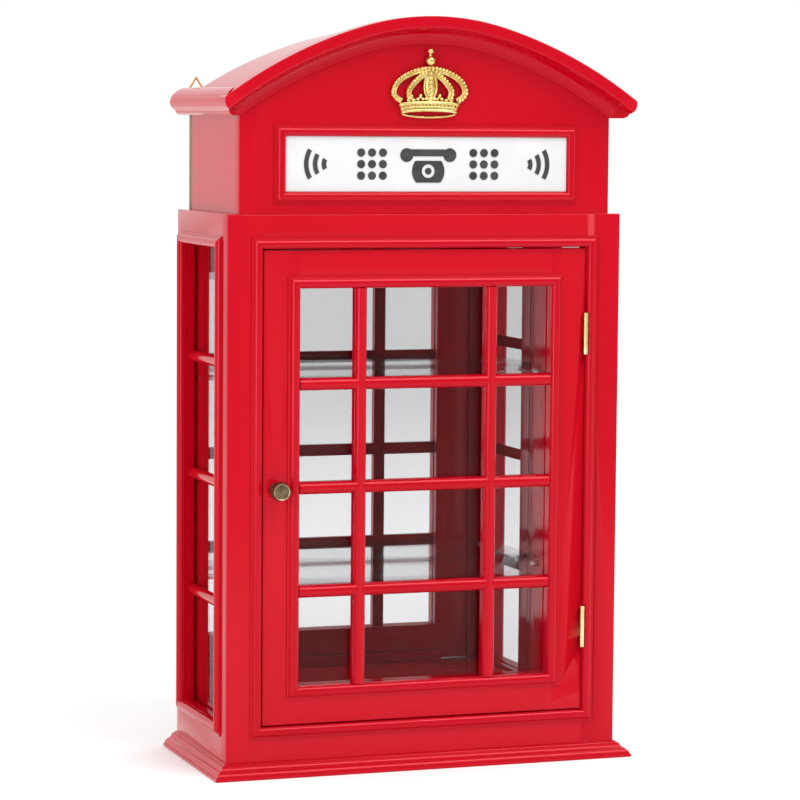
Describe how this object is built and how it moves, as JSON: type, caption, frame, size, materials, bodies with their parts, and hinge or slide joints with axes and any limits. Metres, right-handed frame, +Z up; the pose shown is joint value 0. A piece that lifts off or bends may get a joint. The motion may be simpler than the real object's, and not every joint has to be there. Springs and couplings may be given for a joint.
{
  "type": "telephone booth display cabinet",
  "caption": "Small wall-hung or standing display cabinet in the shape of a red telephone booth, with a hinged glazed door, glazed sides, a mirror back, glass shelves and an arched roof.",
  "frame": {"origin": "centre of the base's underside, moulding included", "axes": "+Z up, -Y out of the door's front, +X to the viewer's right when facing the door"},
  "size_m": [0.3906, 0.1839, 0.6623],
  "materials": {
    "red_lacquer": "gloss red lacquer over wood",
    "back_board": "plain board",
    "clear_glass": "clear float glass",
    "mirror_glass": "silvered glass",
    "shelf_pin_steel": "nickel plated",
    "sign_white": "white, satin",
    "sign_black": "black print",
    "crown_gold": "gold paint over a casting",
    "hanger_brass": "brass plated wire",
    "hinge_brass": "polished brass",
    "antique_brass": "antique brass with a worn rim",
    "catch_plastic": "brown plastic round a magnet"
  },
  "bodies": {
    "case": {"base_board": "red_lacquer", "base_moulding_front": "red_lacquer", "base_moulding_left": "red_lacquer", "base_moulding_right": "red_lacquer", "floor_board": "red_lacquer", "side_panel_left": "red_lacquer", "side_panel_right": "red_lacquer", "side_bead_left": "red_lacquer", "side_bead_right": "red_lacquer", "side_muntins_left": "red_lacquer", "side_muntins_right": "red_lacquer", "side_glass_left": "clear_glass", "side_glass_right": "clear_glass", "side_glass_stops": "red_lacquer", "face_stile_left": "red_lacquer", "face_stile_right": "red_lacquer", "face_rail_top": "red_lacquer", "face_rail_bottom": "red_lacquer", "face_bead": "red_lacquer", "back_panel": "back_board", "mirror": "mirror_glass", "shelf_pins": "shelf_pin_steel", "deck_board": "red_lacquer", "pediment_board": "red_lacquer", "head_side_left": "red_lacquer", "head_side_right": "red_lacquer", "head_back": "back_board", "roof_panel": "red_lacquer", "roof_moulding_front": "red_lacquer", "eave_moulding_left": "red_lacquer", "eave_moulding_right": "red_lacquer", "sign_frame": "red_lacquer", "sign_panel": "sign_white", "sign_symbol": "sign_black", "crown_ornament": "crown_gold", "hanger_straps": "hanger_brass", "hinge_upper_frame_leaf": "hinge_brass", "hinge_lower_frame_leaf": "hinge_brass", "hinge_pins": "hinge_brass", "case_screws": "hinge_brass", "catch_magnet": "catch_plastic", "door_stop": "red_lacquer"},
    "door": {"door_stile_left": "red_lacquer", "door_stile_right": "red_lacquer", "door_rail_top": "red_lacquer", "door_rail_bottom": "red_lacquer", "door_bead": "red_lacquer", "door_muntins": "red_lacquer", "door_glass": "clear_glass", "door_glass_stops": "red_lacquer", "knob": "antique_brass", "knob_screw": "shelf_pin_steel", "strike_plate": "shelf_pin_steel", "hinge_upper_door_leaf": "hinge_brass", "hinge_lower_door_leaf": "hinge_brass", "door_screws": "hinge_brass"},
    "shelf_upper": {"shelf_upper": "clear_glass"},
    "shelf_lower": {"shelf_lower": "clear_glass"},
    "ring_left": {"ring_left": "hanger_brass"},
    "ring_right": {"ring_right": "hanger_brass"}
  },
  "joints": [
    {"name": "door_hinge", "type": "hinge", "parent": "case", "child": "door", "pos_m": [0.1499, -0.0757, 0.2518], "axis": [0, 0, 1], "range_deg": [0, 110]},
    {"name": "shelf_upper_lift", "type": "slide", "parent": "case", "child": "shelf_upper", "axis": [0, 0, 1], "range_m": [0, 0.025]},
    {"name": "shelf_lower_lift", "type": "slide", "parent": "case", "child": "shelf_lower", "axis": [0, 0, 1], "range_m": [0, 0.025]},
    {"name": "ring_left_swivel", "type": "hinge", "parent": "case", "child": "ring_left", "pos_m": [-0.165, 0.08865, 0.59], "axis": [-1, 0, 0], "range_deg": [0, 170]},
    {"name": "ring_right_swivel", "type": "hinge", "parent": "case", "child": "ring_right", "pos_m": [0.165, 0.08865, 0.59], "axis": [-1, 0, 0], "range_deg": [0, 170]}
  ]
}
